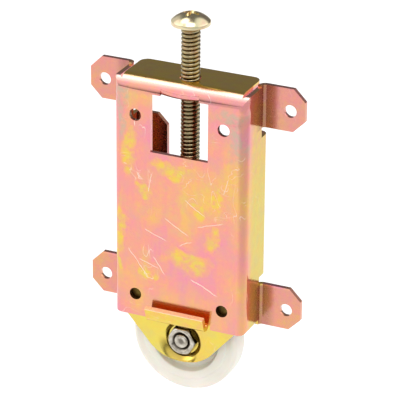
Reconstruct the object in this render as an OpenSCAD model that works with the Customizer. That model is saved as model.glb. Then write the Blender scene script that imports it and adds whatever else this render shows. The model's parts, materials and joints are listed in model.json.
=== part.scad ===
// Adjustable sliding door roller: a stamped steel housing that screws to the door,
// a forked carriage that slides in it, and a nylon wheel on a ball bearing.
// Turning the adjusting screw moves the carriage and lifts or lowers the door.
//
// Frame: the origin is the centre of the four ear holes, on the rear face of the ears.
// X runs across the plate, +Y points to the door, +Z is up. All sizes are in mm.

/* [Housing] */
// Outer width across the side walls
housing_w = 36; // [34:0.5:40]
// Height from the top face down to the plate's lower edge
plate_h = 64.3; // [62:0.1:70]
// Sheet thickness of the housing
sheet_t = 1.2; // [1:0.1:1.4]
// Outer radius of the bend from the plate to a side wall
side_bend_r = 2.4; // [2:0.1:3]
// Outer radius of the bend from the plate to the top
top_bend_r = 3.8; // [3.6:0.1:4.2]
// Depth of the top, from the plate's face to its rear edge
top_depth = 13.6; // [13:0.1:14]
// Gap between the top's side edge and the outside of a wall
top_inset = 1.9; // [1.4:0.1:2.4]
// Radius of the top's rear corners
top_corner_r = 2.2; // [1:0.1:3]

/* [Ears] */
// Distance from the plate's face to the ears' front face
ear_setback = 10.05; // [9.5:0.05:11]
// Overall width across the ears
ear_span = 58; // [56:0.5:62]
// Height of each ear
ear_h = 11.2; // [10.6:0.1:12]
// Corner chamfer of the ears
ear_chamfer = 3.1; // [2:0.1:3.4]
// Hole spacing across the ears
ear_pitch_x = 50.2; // [49:0.1:53]
// Hole spacing from the upper to the lower ears
ear_pitch_z = 53.8; // [52:0.1:56]
// Ear hole diameter
ear_hole_d = 3.3; // [3:0.1:4]
// Inside radius of the small bends at the ears and the rear flanges
ear_bend_r = 0.8; // [0.6:0.1:1.2]

/* [Plate] */
// Diameter of the four locating holes in the plate
plate_hole_d = 3.2; // [2.5:0.1:4]
// Spacing of the locating holes across the plate
plate_pitch_x = 23.8; // [22:0.1:25]
// Spacing of the locating holes up the plate
plate_pitch_z = 48.8; // [47:0.1:50]
// Width of the window
window_w = 15.5; // [14:0.1:17]
// Depth of the window's upper edge below the top
window_top = 3.5; // [3.3:0.1:3.7]
// Depth of the window's lower edge below the top
window_bottom = 18.8; // [17:0.1:20]
// Width of the tapped flap above the window
flap_w = 10.4; // [9:0.1:12]
// Width of the hook lip on the lower edge
lip_w = 16; // [12:0.5:18]
// Length of the lip's straight part
lip_rise = 2.9; // [2:0.1:3.5]
// Lean of the lip away from the plate, in degrees
lip_lean = 18; // [0:1:25]

/* [Rear flanges] */
// Depth of the flanges' upper end below the top
flange_top = 13.8; // [13:0.1:15]
// Depth of the flanges' lower end below the top
flange_bottom = 51.7; // [50:0.1:52]
// Clear opening between the two flanges
flange_gap = 18; // [17.5:0.5:22]
// Corner chamfer of the flanges
flange_chamfer = 2.7; // [1:0.1:4]

/* [Carriage] */
// Width of the carriage
carriage_w = 31.8; // [31:0.1:31.9]
// Clearance between the carriage and the housing, front and back
slide_gap = 0.2; // [0.15:0.05:0.3]
// Depth of the carriage's top face below the housing's top
web_top = 33.6; // [32:0.1:35]
// Slope of the fork's lower edges, in degrees
fork_slope = 48.5; // [45:0.5:52]
// Radius of the fork's rounded end
fork_end_r = 11.7; // [11:0.1:12]
// Depth of the fork's end below the housing's top
fork_end = 75.8; // [75.5:0.1:76.2]

/* [Wheel] */
// Wheel diameter
wheel_d = 28.8; // [27:0.1:30]
// Wheel width
wheel_w = 6.1; // [5.5:0.1:6.4]
// Radius of the wheel's shoulders
shoulder_r = 1.3; // [0.5:0.1:2]
// Diameter of the recess in each side of the wheel
recess_d = 18.4; // [17:0.1:21]
// Depth of the axle below the housing's top
axle_drop = 70.2; // [70:0.1:70.4]

/* [Bearing and axle] */
// Axle diameter
axle_d = 4; // [4:4]
// Bearing outer diameter
bearing_d = 12; // [12:12]
// Bearing width
bearing_w = 4; // [4:4]
// Number of balls
ball_count = 7; // [6:1:7]
// Ball diameter
ball_d = 2; // [2:2]
// Width across the flats of the axle's head and nut
hex_af = 7; // [7:7]
// Thickness of the nut
nut_t = 2.1; // [1.8:0.1:2.1]
// Thickness of the axle's head
bolt_head_t = 2.8; // [2.2:0.1:2.8]

/* [Adjusting screw] */
// Thread diameter
thread_d = 4.83; // [4.83:4.83]
// Thread pitch
thread_p = 1.0583; // [1.0583:1.0583]
// Length under the head
screw_len = 50.8; // [50.8:50.8]
// Head diameter
head_d = 9.8; // [8.5:0.1:10]
// Head height
head_h = 3.15; // [2.8:0.05:3.4]
// Distance from the plate's face to the screw's axis
screw_depth = 6.6; // [6.4:0.1:6.9]

/* [Hidden] */
$fn = 96;
eps = 0.5; // overrun of a cut past a face

// Places that the sizes above fix
ear_drop = 5.9;                               // the upper ear holes lie this far below the top
ear_rise = 0.6;                               // the lower ears end this far below the plate
plate_mid = 34;                               // drop of the locating holes' centre
top_z = ear_pitch_z / 2 + ear_drop;           // the housing's top face
front_y = -(ear_setback + sheet_t);           // the plate's outer face
half_w = housing_w / 2;
inner_half = half_w - sheet_t;                // the inner face of a side wall
ear_outer_r = ear_bend_r + sheet_t;
wall_depth = ear_setback - ear_bend_r;        // a side wall's straight part ends here
wall_top = 0.5;                               // the side walls end this far below the top
rear_depth = 13.67;                           // the rear flanges' rear face
flange_depth = rear_depth - sheet_t;          // their front face
screw_hole_d = 5.4;
tapped_d = thread_d + 0.16;                   // the flap's thread, drawn as a plain bore
flap_top = 2.7;                               // the flap's upper face, below the top
flap_end = 10.6;                              // the flap's free edge, behind the plate's face
flap_r = (flap_top + sheet_t) / 2;            // the flap turns back under the top at this radius
flap_front = 0.4;                             // the flap's bend starts this far behind the plate's face
lip_bend_r = 0.5;                             // inside radius of the hook lip
lip_relief = 0.8;                             // width of the notches beside the lip
lip_relief_h = 1.5;                           // height of the notches
lip_lap = 0.2;                                // the lip's bend starts this far above its foot
foot_r = 1;                                   // radius of the pan's lower corners, seen from the front

carriage_front = sheet_t + slide_gap;
carriage_rear = flange_depth - slide_gap;
mid_depth = (carriage_front + carriage_rear) / 2;
fork_bend_r = 1.8;
fork_end_z = fork_end - fork_end_r;           // depth of the end's centre
spacer_t = 0.3;
cup_floor_t = 1.0;                            // sheet left in the floor of the drawn cup
cup_half = bearing_w / 2 + spacer_t;          // mid plane to the cup floor's inner face
cup_floor = cup_half + cup_floor_t;           // mid plane to the floor that the nut seats on
cup_r = 4.15;                                 // radius of the cup's floor
cup_mouth_r = 4.9;                            // radius of its mouth
cup_wall = 0.95;                              // the cup's wall, measured across the axis

web_half = 1;                                 // half of the thickness of the wheel's web
hub_half = 1.85;                              // half of the thickness of its hub
hub_r = 7.4;                                  // radius of its hub

fit = 0.02;                                   // radial gap of the fits that don't turn
ease = 0.05;                                  // radial gap of the holes that a part drops into
run = 0.15;                                   // radial gap between parts that turn
hex_turned = 0.6;                             // height of the cone on a hexagon's corners
hex_rim = 0.25;                               // the cone ends this far inside the flats
ball_pitch_r = bearing_d / 3;
ring_gap = 0.85;                              // from the balls' pitch circle to either ring
inner_ring_r = ball_pitch_r - ring_gap;
outer_ring_r = ball_pitch_r + ring_gap;
groove_r = ball_d / 2 + 0.06;
cage_half = 0.6;                              // half of the cage's radial width
cage_h = 1.8;
cage_back = 0.5;                              // the cage's rear edge, behind the balls' centres
shield_r = 5.28;
shield_t = 0.25;
shield_at = 1.52;

thread_root = thread_d / 2 - 0.65;
head_z = 13.9;                                // underside of the head above the housing's top
neck_r = 1.65;
washer_t = 0.8;
washer_r = 4;
shoulder_drop = web_top - washer_t;           // the thread ends here, below the top
clip_t = 0.6;
clip_gap = 0.05;
clip_groove_r = 1.25;
clip_r = 3.3;
clip_mouth = 2.2;
clip_hole_r = 0.6;                            // the relief holes that free the clip's prongs
clip_hole_at = 1.72;
drive_depth = 2.1;                            // the cross recess
drive_mouth = 2.35;                           // half of its width at the mouth
drive_foot = 0.9;                             // and at the foot
drive_slot = 1;                               // width of a slot

STEEL = "gold";
SCREW = "darkgoldenrod";
BRIGHT = "silver";
NYLON = "ivory";

function y_at(depth) = front_y + depth;       // a depth behind the plate's outer face
function z_at(drop) = top_z - drop;           // a drop below the housing's top face

// An outline in X and Z, made into a sheet whose front face is at a depth
module sheet_at(depth, t = sheet_t) {
    translate([0, y_at(depth) + t, 0]) rotate([90, 0, 0]) linear_extrude(t) children();
}

// An outline in depth and Z, run along X and centred
module run_x(w) {
    translate([-w / 2, front_y, 0]) rotate([90, 0, 90]) linear_extrude(w) children();
}

// An outline in X and depth, run up from one drop to a higher one
module run_z(low, high) {
    translate([0, front_y, z_at(low)]) linear_extrude(low - high) children();
}

// A round part turned about the axle, its outline given as radius and distance along Y
module about_axle(depth = mid_depth) {
    translate([0, y_at(depth), z_at(axle_drop)]) rotate([-90, 0, 0]) children();
}

// A round part turned about the screw, its foot at a drop
module about_screw(drop = 0) {
    translate([0, y_at(screw_depth), z_at(drop)]) children();
}

module mirrored_x() {
    children();
    mirror([1, 0, 0]) children();
}

// Quarter of a bend about the origin, outer radius r, in the quadrant sx, sy
module bend_quarter(r, sx, sy) {
    intersection() {
        difference() {
            circle(r);
            circle(r - sheet_t);
        }
        translate([sx < 0 ? -r : 0, sy < 0 ? -r : 0]) square(r);
    }
}

// ---------- housing ----------

// Section of the pan: plate, two bends and two side walls
module pan_section() {
    r = side_bend_r;
    translate([-(half_w - r), 0]) square([2 * (half_w - r), sheet_t]);
    mirrored_x() {
        translate([inner_half, r]) square([sheet_t, wall_depth - r]);
        translate([half_w - r, r]) bend_quarter(r, 1, -1);
    }
}

// Side view of the pan's blank: the top front corner follows the top bend
module pan_side() {
    r = top_bend_r;
    translate([0, z_at(plate_h)]) square([rear_depth, plate_h - r]);
    translate([r, z_at(r)]) square([rear_depth - r, r - wall_top]);
    intersection() {
        translate([r, z_at(r)]) circle(r);
        translate([0, z_at(r)]) square([r, r - wall_top]);
    }
}

// Front view of the pan, its lower corners rounded
module pan_front() {
    translate([-half_w, z_at(plate_h) + foot_r]) square([housing_w, plate_h - foot_r]);
    translate([-(half_w - foot_r), z_at(plate_h)]) square([housing_w - 2 * foot_r, foot_r + eps]);
    mirrored_x() translate([half_w - foot_r, z_at(plate_h) + foot_r]) circle(foot_r);
}

// Section of a side wall that turns inward behind the carriage
module flange_section() {
    r = ear_outer_r;
    mirrored_x() {
        translate([inner_half, wall_depth - eps]) square([sheet_t, rear_depth - r - wall_depth + eps]);
        translate([half_w - r, rear_depth - r]) bend_quarter(r, 1, 1);
        translate([flange_gap / 2, flange_depth]) square([half_w - r - flange_gap / 2, sheet_t]);
    }
}

module flange_corner(drop) {
    mirrored_x() sheet_at(flange_depth - eps, sheet_t + 2 * eps)
        translate([flange_gap / 2, z_at(drop)]) rotate(45)
            square(flange_chamfer * sqrt(2), center = true);
}

module rear_flanges() {
    difference() {
        run_z(flange_bottom, flange_top) flange_section();
        flange_corner(flange_top);
        flange_corner(flange_bottom);
    }
}

// Front view of an ear on the right, its top edge at a drop
module ear_outline(drop) {
    c = ear_chamfer;
    x0 = half_w + ear_bend_r;
    x1 = ear_span / 2;
    z1 = z_at(drop);
    z0 = z1 - ear_h;
    polygon([[x0, z0], [x1 - c, z0], [x1, z0 + c], [x1, z1 - c], [x1 - c, z1], [x0, z1]]);
}

module ear(drop, hole_drop) {
    sheet_at(ear_setback) difference() {
        ear_outline(drop);
        translate([ear_pitch_x / 2, z_at(hole_drop)]) circle(d = ear_hole_d);
    }
    run_z(drop + ear_h, drop) translate([half_w + ear_bend_r, wall_depth])
        bend_quarter(ear_outer_r, -1, 1);
}

// Two ears a side; the lower ones end a little below the plate
module ears() {
    low_top = plate_h + ear_rise - ear_h; // drop of the lower ears' top edge
    mirrored_x() {
        ear(0, ear_drop);
        ear(low_top, ear_drop + ear_pitch_z);
    }
}

module top_outline() {
    r = top_corner_r;
    w = half_w - top_inset;
    translate([-w, top_bend_r]) square([2 * w, top_depth - r - top_bend_r]);
    translate([-(w - r), top_depth - r]) square([2 * (w - r), r]);
    mirrored_x() translate([w - r, top_depth - r]) circle(r);
}

module top() {
    run_z(sheet_t, 0) top_outline();
    run_x(2 * (half_w - top_inset)) translate([top_bend_r, z_at(top_bend_r)])
        bend_quarter(top_bend_r, -1, 1);
}

// The tapped flap: a tongue of the plate folded back under the top
module flap() {
    run_x(flap_w) {
        translate([flap_r + flap_front, z_at(flap_r)]) bend_quarter(flap_r, -1, -1);
        translate([flap_r + flap_front, z_at(flap_top + sheet_t)])
            square([flap_end - flap_r - flap_front, sheet_t]);
    }
}

// Side view of the hook lip, about the centre of its bend
module lip_side() {
    ro = lip_bend_r + sheet_t;
    far = 3 * ro;
    difference() {
        circle(ro);
        circle(lip_bend_r);
        polygon([[0, 0], [far, 0], [far, far], [-far, far], [-far, -far * tan(lip_lean)]]);
    }
    rotate(lip_lean) translate([-ro, 0]) square([sheet_t, lip_rise]);
}

module lip() {
    run_x(lip_w) translate([-lip_bend_r, z_at(plate_h - lip_bend_r - sheet_t + lip_lap)]) lip_side();
}

module plate_cuts() {
    sheet_at(-eps, sheet_t + 2 * eps) {
        for (x = [-1, 1], z = [-1, 1])
            translate([x * plate_pitch_x / 2, z_at(plate_mid + z * plate_pitch_z / 2)])
                circle(d = plate_hole_d);
        translate([-window_w / 2, z_at(window_bottom)])
            square([window_w, window_bottom - window_top]);
        mirrored_x() translate([lip_w / 2, z_at(plate_h + eps)])
            square([lip_relief, lip_relief_h + eps]);
    }
    // the plate's foot turns forward as the lip
    sheet_at(-eps, sheet_t + 2 * eps)
        translate([-lip_w / 2, z_at(plate_h + eps)]) square([lip_w, lip_bend_r + sheet_t - lip_lap + eps]);
    // the flap's tongue leaves the top bend here
    run_x(flap_w) translate([-eps, z_at(window_top + eps)])
        square([top_bend_r + eps, window_top + eps - flap_r]);
}

module housing() {
    color(STEEL) difference() {
        union() {
            difference() {
                union() {
                    intersection() {
                        run_z(plate_h, 0) pan_section();
                        run_x(housing_w) pan_side();
                        sheet_at(0, rear_depth) pan_front();
                    }
                    top();
                }
                plate_cuts();
            }
            flap();
            lip();
            rear_flanges();
            ears();
        }
        about_screw(sheet_t + eps) cylinder(d = screw_hole_d, h = sheet_t + 2 * eps);
        about_screw(flap_top + sheet_t + eps) cylinder(d = tapped_d, h = sheet_t + 2 * eps);
    }
}

// ---------- carriage ----------

// The fork's blank: tapered leaves with a rounded end, as deep as the housing
module fork_blank() {
    w = carriage_w / 2;
    tx = fork_end_r * sin(fork_slope);
    tz = fork_end_z + fork_end_r * cos(fork_slope);
    corner = tz - (w - tx) * tan(fork_slope);
    union() {
        sheet_at(0, rear_depth) polygon([
            [-w, z_at(web_top)], [w, z_at(web_top)], [w, z_at(corner)], [tx, z_at(tz)],
            [-tx, z_at(tz)], [-w, z_at(corner)]
        ]);
        sheet_at(0, rear_depth) translate([0, z_at(fork_end_z)]) circle(fork_end_r + fit);
    }
}

// Side view of the fork: two leaves and the web that joins them
module fork_side() {
    r = fork_bend_r;
    depth = carriage_rear - carriage_front;
    translate([carriage_front, z_at(fork_end + 1)]) {
        h = fork_end + 1 - web_top;
        for (y = [0, depth - sheet_t]) translate([y, 0]) square([sheet_t, h - r]);
        translate([r, h - sheet_t]) square([depth - 2 * r, sheet_t]);
        translate([r, h - r]) bend_quarter(r, -1, 1);
        translate([depth - r, h - r]) bend_quarter(r, 1, 1);
    }
}

// About the axle, with +Z away from the mid plane; side is -1 at the front and 1 at the rear
module outward(side) {
    about_axle() rotate([side < 0 ? 180 : 0, 0, 0]) children();
}

// One drawn cup, its floor on the side of the wheel
module cup(side) {
    mouth = (carriage_rear - carriage_front) / 2;
    outward(side) translate([0, 0, cup_half])
        cylinder(r1 = cup_r + cup_wall, r2 = cup_mouth_r + cup_wall, h = mouth - cup_half - sheet_t / 2);
}

module cup_cut(side) {
    mouth = (carriage_rear - carriage_front) / 2;
    slope = (cup_mouth_r - cup_r) / (mouth - cup_floor);
    outward(side) {
        translate([0, 0, cup_floor])
            cylinder(r1 = cup_r, r2 = cup_mouth_r + slope * eps, h = mouth - cup_floor + eps);
        cylinder(r = axle_d / 2 + ease, h = mouth);
    }
}

module carriage() {
    color(STEEL) difference() {
        intersection() {
            union() {
                run_x(carriage_w) fork_side();
                cup(-1);
                cup(1);
            }
            fork_blank();
        }
        cup_cut(-1);
        cup_cut(1);
        about_screw(web_top + sheet_t + eps) cylinder(r = neck_r + ease, h = sheet_t + 2 * eps);
    }
}

// ---------- adjusting screw ----------

// Cross recess: two crossed tapered blades and a cone, its mouth at z = 0
module cross_recess() {
    d = drive_depth;
    m = drive_mouth;
    f = drive_foot;
    for (a = [0, 90]) rotate(a) rotate([90, 0, 0]) linear_extrude(drive_slot, center = true)
        polygon([[-m, eps], [m, eps], [m, 0], [f, -d], [-f, -d], [-m, 0]]);
    translate([0, 0, -d]) cylinder(r1 = 0.75 * drive_slot, r2 = 1.3 * drive_slot, h = d + eps);
}

// The thread as rings of crest and root; a crest and a root are each flat for a share of the pitch
function ring_points(count, z0) = [
    let(root = 0.12, crest = 0.06)
    for (i = [0:count - 1]) each [
        [thread_root, z0 + (i + root) * thread_p],
        [thread_d / 2, z0 + (i + 0.5 - crest) * thread_p],
        [thread_d / 2, z0 + (i + 0.5 + crest) * thread_p],
        [thread_root, z0 + (i + 1 - root) * thread_p]
    ]
];

// The shank starts as a short collar, which bears on the thrust washer
module shank_outline() {
    h = shoulder_drop + head_z;
    collar = 0.5;
    chamfer = 0.2;
    count = floor((h - collar - 2 * chamfer) / thread_p);
    polygon(concat(
        [[0, 0], [thread_d / 2 - chamfer, 0], [thread_d / 2, chamfer], [thread_d / 2, collar]],
        ring_points(count, collar + chamfer),
        [[thread_root, h], [0, h]]
    ));
}

// A dome that rises head_h over half of head_d, above a short rim
module head_outline() {
    rim = 0.9;
    rise = head_h - rim;
    r = (pow(head_d / 2, 2) + pow(rise, 2)) / (2 * rise);
    square([head_d / 2, rim]);
    intersection() {
        translate([0, head_h - r]) circle(r);
        translate([0, rim]) square([head_d / 2, rise]);
    }
}

module neck_outline() {
    tip = screw_len - head_z - web_top;
    clip_z = sheet_t + clip_gap;
    difference() {
        translate([0, -tip]) square([neck_r, tip + washer_t]);
        translate([clip_groove_r, -clip_z - clip_t - fit]) square([neck_r, clip_t + 2 * fit]);
    }
}

module adjusting_screw() {
    color(SCREW) difference() {
        union() {
            about_screw(shoulder_drop) rotate_extrude() shank_outline();
            about_screw(-head_z) rotate_extrude() head_outline();
            about_screw(web_top) rotate_extrude() neck_outline();
        }
        about_screw(-head_z - head_h) cross_recess();
    }
}

module screw_thrust_washer() {
    color(BRIGHT) about_screw(web_top) difference() {
        cylinder(r = washer_r, h = washer_t);
        translate([0, 0, -eps]) cylinder(r = neck_r + ease, h = washer_t + 2 * eps);
    }
}

module clip_outline() {
    difference() {
        circle(clip_r);
        circle(clip_groove_r + fit);
        translate([-clip_mouth / 2, -clip_r - eps]) square([clip_mouth, clip_r + eps]);
        for (a = [-110, -35, 35, 110]) rotate(a) translate([0, clip_hole_at]) circle(clip_hole_r);
    }
}

module screw_retaining_clip() {
    color(BRIGHT) about_screw(web_top + sheet_t + clip_gap + clip_t) linear_extrude(clip_t) clip_outline();
}

// ---------- axle ----------

// A hexagon with its corners turned down by a cone at the outer end
module hex_body(t) {
    corner_r = hex_af / 2 / cos(30);
    intersection() {
        cylinder(r = corner_r, h = t, $fn = 6);
        rotate_extrude() polygon([
            [0, 0], [corner_r, 0], [corner_r, t - hex_turned], [hex_af / 2 - hex_rim, t], [0, t]
        ]);
    }
}

module axle_bolt() {
    tip = cup_floor + nut_t - ease;
    r = axle_d / 2 - fit;
    chamfer = 0.38;
    color(BRIGHT) about_axle() {
        translate([0, 0, cup_floor]) hex_body(bolt_head_t);
        translate([0, 0, -tip]) rotate_extrude() polygon([
            [0, 0], [r - chamfer, 0], [r, chamfer], [r, tip + cup_floor], [0, tip + cup_floor]
        ]);
    }
}

module axle_nut() {
    sink = 0.3; // depth of the cone at the mouth of the nut's hole
    color(BRIGHT) about_axle(mid_depth - cup_floor) rotate([180, 0, 0]) difference() {
        hex_body(nut_t);
        translate([0, 0, -eps]) cylinder(r = axle_d / 2 + fit, h = nut_t + 2 * eps);
        translate([0, 0, nut_t - sink]) cylinder(r1 = axle_d / 2, r2 = axle_d / 2 + 2 * sink, h = 2 * sink);
    }
}

module axle_spacer(side) {
    color(BRIGHT) about_axle(mid_depth + side * (bearing_w + spacer_t) / 2) difference() {
        cylinder(r = inner_ring_r - ease, h = spacer_t, center = true);
        cylinder(r = axle_d / 2 + fit, h = spacer_t + eps, center = true);
    }
}

module axle_spacer_front() {
    axle_spacer(-1);
}

module axle_spacer_rear() {
    axle_spacer(1);
}

// ---------- wheel and bearing ----------

module tyre_outline() {
    r = wheel_d / 2;
    s = shoulder_r;
    mirror_y() {
        translate([bearing_d / 2, 0]) square([hub_r - bearing_d / 2, hub_half]);
        translate([bearing_d / 2, 0]) square([r - s - bearing_d / 2, web_half]);
        translate([recess_d / 2, 0]) square([r - s - recess_d / 2, wheel_w / 2]);
        translate([r - s, 0]) square([s, wheel_w / 2 - s]);
        translate([r - s, wheel_w / 2 - s]) circle(s);
    }
}

module mirror_y() {
    children();
    mirror([0, 1]) children();
}

module wheel_tyre() {
    color(NYLON) about_axle() rotate_extrude() tyre_outline();
}

module groove() {
    rotate_extrude() translate([ball_pitch_r, 0]) circle(groove_r);
}

module bearing_outer_ring() {
    seat = bearing_w / 2 - shield_at + fit;
    color(BRIGHT) about_axle() difference() {
        cylinder(r = bearing_d / 2 - fit, h = bearing_w, center = true);
        cylinder(r = outer_ring_r, h = bearing_w + eps, center = true);
        for (side = [-1, 1]) translate([0, 0, side * (bearing_w / 2)])
            cylinder(r = shield_r + fit, h = 2 * seat, center = true);
        groove();
    }
}

module bearing_inner_ring() {
    color(BRIGHT) about_axle() difference() {
        cylinder(r = inner_ring_r, h = bearing_w, center = true);
        cylinder(r = axle_d / 2, h = bearing_w + eps, center = true);
        groove();
    }
}

module at_balls() {
    for (i = [0:ball_count - 1]) rotate(i * 360 / ball_count) translate([ball_pitch_r, 0, 0]) children();
}

module bearing_balls() {
    color(BRIGHT) about_axle() at_balls() sphere(d = ball_d);
}

module bearing_cage() {
    color(NYLON) about_axle() difference() {
        translate([0, 0, -cage_back]) cylinder(r = ball_pitch_r + cage_half, h = cage_h);
        cylinder(r = ball_pitch_r - cage_half, h = 2 * cage_h, center = true);
        at_balls() sphere(r = ball_d / 2 + ease);
    }
}

module bearing_shield(side) {
    color(BRIGHT) about_axle(mid_depth + side * (shield_at + shield_t / 2)) difference() {
        cylinder(r = shield_r, h = shield_t, center = true);
        cylinder(r = inner_ring_r + run, h = shield_t + eps, center = true);
    }
}

module bearing_shield_front() {
    bearing_shield(-1);
}

module bearing_shield_rear() {
    bearing_shield(1);
}

housing();
carriage();
adjusting_screw();
screw_thrust_washer();
screw_retaining_clip();
axle_bolt();
axle_nut();
axle_spacer_front();
axle_spacer_rear();
wheel_tyre();
bearing_outer_ring();
bearing_inner_ring();
bearing_balls();
bearing_cage();
bearing_shield_front();
bearing_shield_rear();
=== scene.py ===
import json
import math

import bmesh
import bpy
from mathutils import Matrix, Vector

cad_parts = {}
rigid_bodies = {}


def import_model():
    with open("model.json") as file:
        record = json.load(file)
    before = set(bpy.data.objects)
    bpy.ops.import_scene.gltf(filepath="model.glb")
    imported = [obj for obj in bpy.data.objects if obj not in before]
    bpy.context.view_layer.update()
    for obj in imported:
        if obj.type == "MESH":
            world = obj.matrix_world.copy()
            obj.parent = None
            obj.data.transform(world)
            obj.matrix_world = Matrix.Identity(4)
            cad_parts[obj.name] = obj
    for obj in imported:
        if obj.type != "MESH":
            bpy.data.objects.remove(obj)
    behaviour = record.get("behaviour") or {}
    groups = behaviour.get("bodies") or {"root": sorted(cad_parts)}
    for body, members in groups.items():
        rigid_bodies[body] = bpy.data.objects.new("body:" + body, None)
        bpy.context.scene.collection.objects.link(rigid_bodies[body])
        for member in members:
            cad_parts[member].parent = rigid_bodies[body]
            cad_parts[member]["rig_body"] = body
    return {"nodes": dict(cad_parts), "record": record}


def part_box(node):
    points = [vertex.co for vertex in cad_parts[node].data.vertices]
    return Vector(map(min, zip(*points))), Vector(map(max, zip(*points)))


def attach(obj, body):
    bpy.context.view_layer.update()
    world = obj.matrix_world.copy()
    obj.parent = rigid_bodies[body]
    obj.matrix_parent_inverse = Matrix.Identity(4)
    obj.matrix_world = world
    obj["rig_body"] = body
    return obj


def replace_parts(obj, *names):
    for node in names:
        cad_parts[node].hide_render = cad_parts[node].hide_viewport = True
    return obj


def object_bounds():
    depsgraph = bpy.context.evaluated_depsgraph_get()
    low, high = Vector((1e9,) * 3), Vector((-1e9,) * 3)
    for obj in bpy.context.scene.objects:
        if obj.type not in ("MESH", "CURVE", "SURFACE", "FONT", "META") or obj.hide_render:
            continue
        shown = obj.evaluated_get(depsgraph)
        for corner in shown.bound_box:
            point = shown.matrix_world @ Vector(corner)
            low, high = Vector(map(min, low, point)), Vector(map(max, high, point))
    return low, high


# A sliding door roller: a stamped housing, a carriage that an adjusting screw moves, and a
# nylon wheel on a ball bearing. Places come from the frame. MM turns millimetres into metres.

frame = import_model()
cad_low, cad_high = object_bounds()
MM = 0.001

# ---------- driving sizes, in mm unless they come from the frame ----------

THREAD_R = 2.415
THREAD_ROOT_R = 1.78
NECK_R = 1.65
CLIP_GROOVE = (-2.65, -2.05)
CLIP_GROOVE_R = 1.25
HEAD_RIM = 0.9
RECESS_DEPTH = 2.1
WHEEL_RECESS_R = 9.2
WHEEL_STEP_R = 11.4
HUB_R = 7.4
HUB_HALF = 1.85
WHEEL_SHOULDER = 1.3
WEB_HALF = 1.0
FLAP_HALF = 5.2
# the dish round the nut, as (radius, depth)
DISH = [(4.2, 1.35), (4.5, 1.2), (4.9, 0.84), (5.3, 0.52), (5.7, 0.28), (6.1, 0.12), (6.6, -0.03)]
# the cone in the nut's mouth, and the dimple in the bolt's end
NUT_MOUTH_R = 2.8
NUT_MOUTH_DEPTH = 0.6
BOLT_DIMPLE = 0.45
PLATE_FACE_Y = -11.25
TOP_Z = 32.8
EAR_FACE_Y = -1.2
LIP_FRONT_Y = -13.3
HOLE_R = 1.6
HOLE_X = 11.9
HOLE_Z = 24.4
HOLES_MIDDLE_Z = -1.2

turn_ratio = next(
    c["ratio"] for c in frame["record"]["behaviour"]["couplings"] if c["joint"] == "screw_turn"
)
PITCH = 2 * math.pi / turn_ratio / MM

TAU = 2 * math.pi


def mm_box(node):
    """Lowest and highest corner of a CAD node, in mm."""
    low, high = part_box(node)
    return low / MM, high / MM


screw_low, screw_high = mm_box("adjusting_screw")
SCREW_Y = (screw_low.y + screw_high.y) / 2
SHOULDER_Z = mm_box("screw_thrust_washer")[1].z
HEAD_R = (screw_high.x - screw_low.x) / 2
LIP_TOP_Z = max(
    v.co.z for v in frame["nodes"]["housing"].data.vertices if v.co.y / MM < LIP_FRONT_Y
) / MM
UNDER_HEAD_Z = min(
    v.co.z for v in frame["nodes"]["adjusting_screw"].data.vertices
    if abs(v.co.x / MM) > HEAD_R - 0.2
) / MM
HEAD_H = screw_high.z - UNDER_HEAD_Z

wheel_low, wheel_high = mm_box("wheel_tyre")
AXLE_Y, AXLE_Z = (wheel_low.y + wheel_high.y) / 2, (wheel_low.z + wheel_high.z) / 2
WHEEL_R = (wheel_high.x - wheel_low.x) / 2
WHEEL_HALF = (wheel_high.y - wheel_low.y) / 2
race_low, race_high = mm_box("bearing_outer_ring")
NUT_FACE_Y = mm_box("axle_nut")[0].y
SEAT_R = (race_high.x - race_low.x) / 2 + 0.02

# ---------- materials: a small kit for node trees ----------


def srgb(red, green, blue):
    """A colour given as 0 to 255 on screen, in linear light, with alpha."""
    def linear(value):
        v = value / 255
        return v / 12.92 if v <= 0.04045 else ((v + 0.055) / 1.055) ** 2.4
    return (linear(red), linear(green), linear(blue), 1.0)


# The inputs of a map range node, in the order that its numbers are given in
RANGE_ENDS = ("From Min", "From Max", "To Min", "To Max")


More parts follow.
